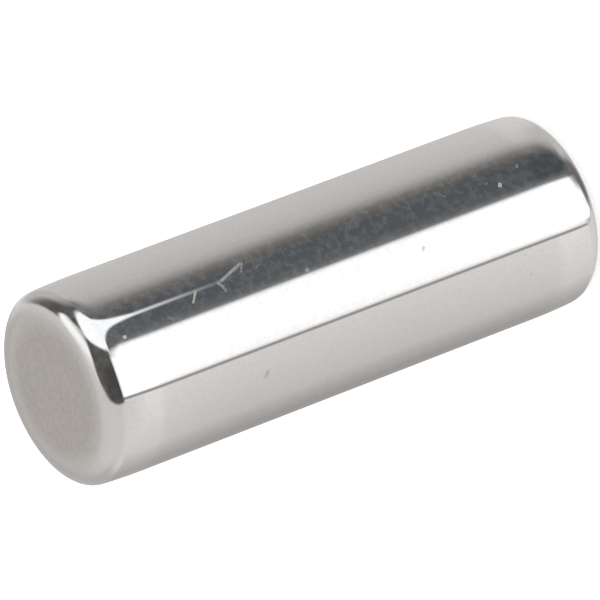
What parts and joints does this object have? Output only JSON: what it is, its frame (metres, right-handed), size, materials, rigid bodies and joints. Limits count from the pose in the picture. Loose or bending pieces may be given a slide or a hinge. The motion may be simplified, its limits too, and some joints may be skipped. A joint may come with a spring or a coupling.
{
  "type": "needle roller",
  "caption": "Slim cylindrical rolling element in polished steel, with flat ends and rounded edges, that runs between two raceways.",
  "frame": {"origin": "centre of the flat end that the roller stands on, on the surface below it", "axes": "+Z along the roller's axis from the end it stands on to the other end; X and Y are any two radial directions, because the roller is round"},
  "size_m": [0.006, 0.006, 0.0178],
  "materials": {
    "bearing_steel": "ground and polished to a mirror on the cylinder and the rounded edges, plain matte on the two flat ends, with a few fine handling scratches"
  },
  "bodies": {
    "root": {"needle_roller": "bearing_steel"}
  },
  "joints": []
}
